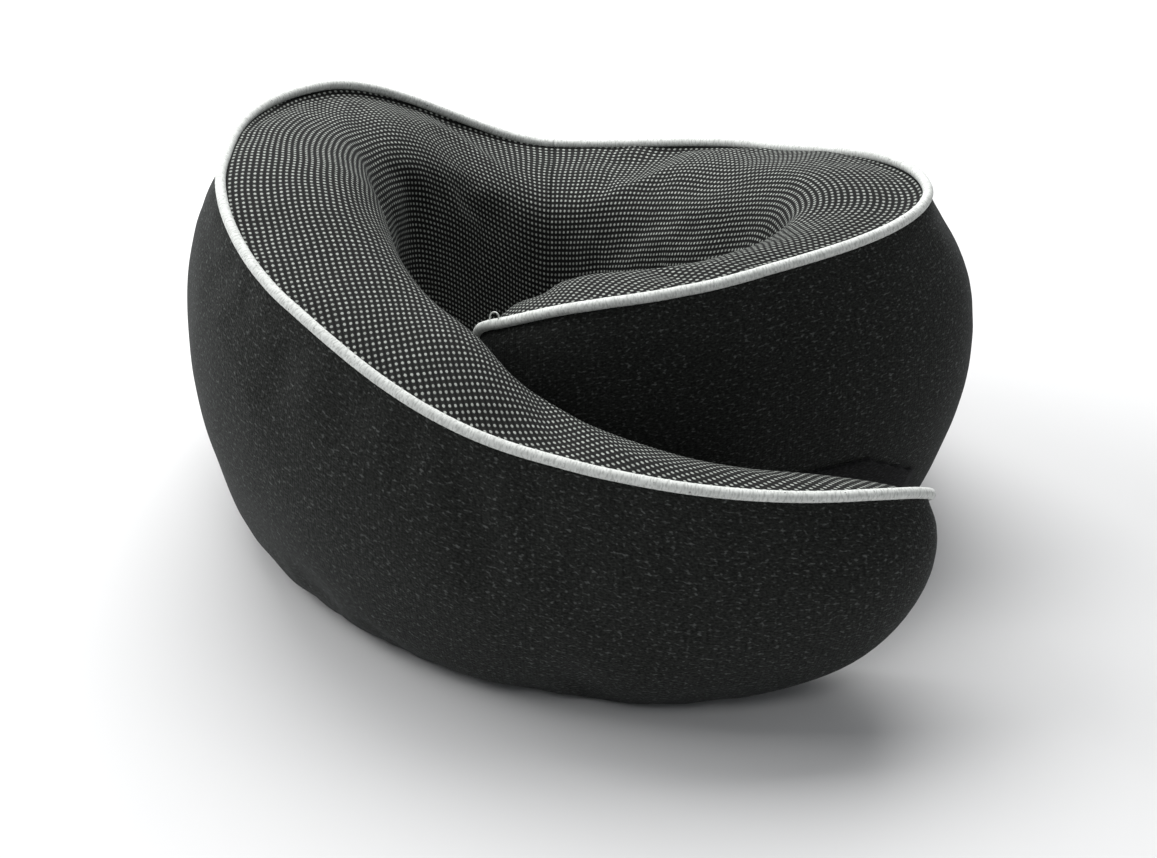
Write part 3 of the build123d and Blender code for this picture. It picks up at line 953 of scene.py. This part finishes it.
def wall_patch(name, side, rows, columns, lift, fabric, corner=4):
    """Copies a block of squares from a half, by row angle and column, as a tape on the wall."""
    half, angles = halves[side]
    bm = bmesh.new()
    bm.from_mesh(half.data)
    bm.normal_update()
    row_of, column_of = bm.verts.layers.int["row"], bm.verts.layers.int["column"]
    inside = [i for i, a in enumerate(angles) if rows[0] <= a <= rows[1]]
    low, high = min(inside), max(inside)

    def kept(face):
        rs = [v[row_of] for v in face.verts]
        cs = [v[column_of] for v in face.verts]
        if not (low <= min(rs) and max(rs) <= high and columns[0] <= min(cs) and max(cs) <= columns[1]):
            return False
        near_row = min(min(rs) - low, high - max(rs))
        near_column = min(min(cs) - columns[0], columns[1] - max(cs))
        return math.hypot(max(corner - near_row, 0), max(corner - near_column, 0)) <= corner + 0.2
    uv = bm.loops.layers.uv.new("fabric")
    for face in bm.faces:
        for loop in face.loops:
            loop[uv].uv = loop.vert[row_of] * RING_STEP * MM, loop.vert[column_of] * 2.6 * MM
    bmesh.ops.delete(bm, geom=[f for f in bm.faces if not kept(f)], context="FACES")
    places = [v.co + v.normal * lift for v in bm.verts]
    for vert, place in zip(bm.verts, places):
        vert.co = place
    piece = new_piece(name, bm)
    smooth = piece.modifiers.new("smooth", "SUBSURF")
    smooth.levels = smooth.render_levels = 1
    settle(piece)
    dress(piece, fabric)
    wall = piece.modifiers.new("thickness", "SOLIDIFY")
    wall.thickness = PATCH_THICK
    wall.offset = 1
    return piece


loop_piece = wall_patch("loop_tape_on_right_arm", "right", (-48, -12), (20, 29), 0.15 * MM, "loop_tape")
hook_piece = wall_patch("hook_tape_on_left_arm", "left", (285, 308), (60, 69), 0.15 * MM, "hook_tape")
print("patches:", [len(p.data.polygons) for p in (loop_piece, hook_piece)], "faces")

# %% [markdown]
# ## Piping, zip and slider finish
# The cord takes its material. The coil is modelled tooth by tooth: each tooth is a small bent
# loop of wire, copied round the arc on alternate sides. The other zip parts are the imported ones,
# with softened edges.

# %% Piping and zip
for cord in piping.values():
    dress(cord, "piping_cord")

TOOTH_PITCH = 1.25 * MM
TOOTH_WIRE = 0.26 * MM


def add_tooth(bm, angle, side):
    """One loop of the coil's wire: two legs from the tape to a rounded head at the middle."""
    rings = []
    girth = 6
    shape = [(2.7, 0.75), (1.6, 1.25), (0.62, 1.30), (0.62, 0.80), (1.6, 0.62)]
    points = [zip_point(angle, side * a * MM, z * MM) for a, z in shape]
    along = Vector((-math.sin(angle), math.cos(angle), 0))
    for i, point in enumerate(points):
        ahead = points[min(i + 1, len(points) - 1)] - points[max(i - 1, 0)]
        normal = ahead.normalized().cross(along)
        ring = [bm.verts.new(point + (along * math.cos(t) + normal * math.sin(t)) * TOOTH_WIRE)
                for t in (2 * math.pi * k / girth for k in range(girth))]
        rings.append(ring)
    edges = []
    for ring in rings:
        edges.append([bm.edges.new((ring[k], ring[(k + 1) % girth])) for k in range(girth)])
    for near, far in zip(edges, edges[1:]):
        bmesh.ops.bridge_loops(bm, edges=near + far)
    for ring in (edges[0], edges[-1]):
        bmesh.ops.contextual_create(bm, geom=ring)


def coil(name, side):
    bm = bmesh.new()
    start, end = ZIP_SPAN[0] + math.radians(1.7), ZIP_SPAN[1] - math.radians(1.7)
    count = int((end - start) * ZIP_R / TOOTH_PITCH)
    for i in range(count):
        offset = 0.25 if side > 0 else -0.25
        add_tooth(bm, start + (i + 0.5 + offset) * (end - start) / count, side)
    bmesh.ops.recalc_face_normals(bm, faces=bm.faces)
    piece = new_piece(name, bm)
    dress(piece, "zip_coil")
    print(name, count, "teeth")
    return piece


coils = {"zip_coil_upper": coil("coil_teeth_upper", 1), "zip_coil_lower": coil("coil_teeth_lower", -1)}

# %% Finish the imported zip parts
for node, fabric in {"zip_tape_upper": "zip_tape", "zip_tape_lower": "zip_tape",
                     "zip_top_stops": "zip_coil", "zip_bottom_stop": "zip_coil",
                     "zip_slider": "zip_metal", "zip_pull": "zip_metal"}.items():
    packed = bpy.data.objects[node]
    packed.data.materials.clear()
    packed.data.materials.append(MATERIALS[fabric])
    if fabric != "zip_tape":
        edge = packed.modifiers.new("soft edges", "BEVEL")
        edge.width = 0.15 * MM
        edge.segments = 2
    print(node, "wears", fabric)

# %% [markdown]
# ## A loose thread
# A small loop of thread stands up from the piping near the inner arm's end, where the cord was
# sewn in. It rides on the right arm.

# %% Loose thread
def loose_thread(path, place):
    """A loop of thread on the cord, at a share of the way along its path."""
    i = int(place * (len(path) - 1))
    foot = Vector(path[i])
    ahead = (Vector(path[i + 1]) - foot).normalized()
    up = Vector((0, 0, 1))
    loop = []
    for k in range(25):
        t = math.pi * (0.15 + 1.7 * k / 24)
        sway = Vector((0, -0.5, 0)) * MM * math.sin(t / 2)
        loop.append(foot + ahead * math.sin(t) * 2.2 * MM + up * (1.5 - 1.9 * math.cos(t) + 1.0) * MM + sway)
    return tube("loose_thread", loop, 0.22 * MM, 8)


thread = loose_thread(seam_line("right"), 0.93)
dress(thread, "piping_cord")

# %% [markdown]
# ## Bodies
# Now each piece is tied to the imported model: the imported pieces it stands for are hidden, and
# the patches, coil teeth and thread are attached to the body they ride on. The two halves meet at
# the middle of the back, which never moves.

# %% Tie the pieces to the model
ZONES = {"left": ("left_arm", CENTRE + Vector((-18, 57.2, 0)) * MM, CENTRE + Vector((6, -19.1, 0)) * MM),
         "right": ("right_arm", CENTRE + Vector((15.75, 42.3, 0)) * MM,
                   CENTRE + Vector((-1.75, -4.7, 0)) * MM)}


def tie(piece, side, stem):
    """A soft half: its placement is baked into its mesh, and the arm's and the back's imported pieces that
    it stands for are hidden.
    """
    arm, start, end = ZONES[side]
    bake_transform(piece)
    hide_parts(f"{stem}_back", f"{stem}_{arm}")


for (side, part), piece in panels.items():
    tie(piece, side, f"cover_{part}_panel")
for side in halves:
    tie(piping[side], side, "piping")
    tie(foam_cores[side], side, "foam_core")
for piece, body, node, slot in ((loop_piece, "right_arm", "loop_patch", "loop_tape"),
                                (hook_piece, "left_arm", "hook_patch", "hook_tape")):
    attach(piece, body)
    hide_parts(node)
for node, piece in coils.items():
    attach(piece, "back")
    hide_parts(node)
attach(thread, "right_arm")
for half, angles in halves.values():
    bpy.data.objects.remove(half)

# %% [markdown]
# ## Sizes
# The visual stays inside the imported model's box, give or take the cover's softness. Both boxes are
# printed.

# %% Finish
visual_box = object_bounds()
for label, corners in (("packed", cad_box), ("visual", visual_box)):
    print(label, [round((b - a) / MM, 1) for a, b in zip(*corners)], "mm")
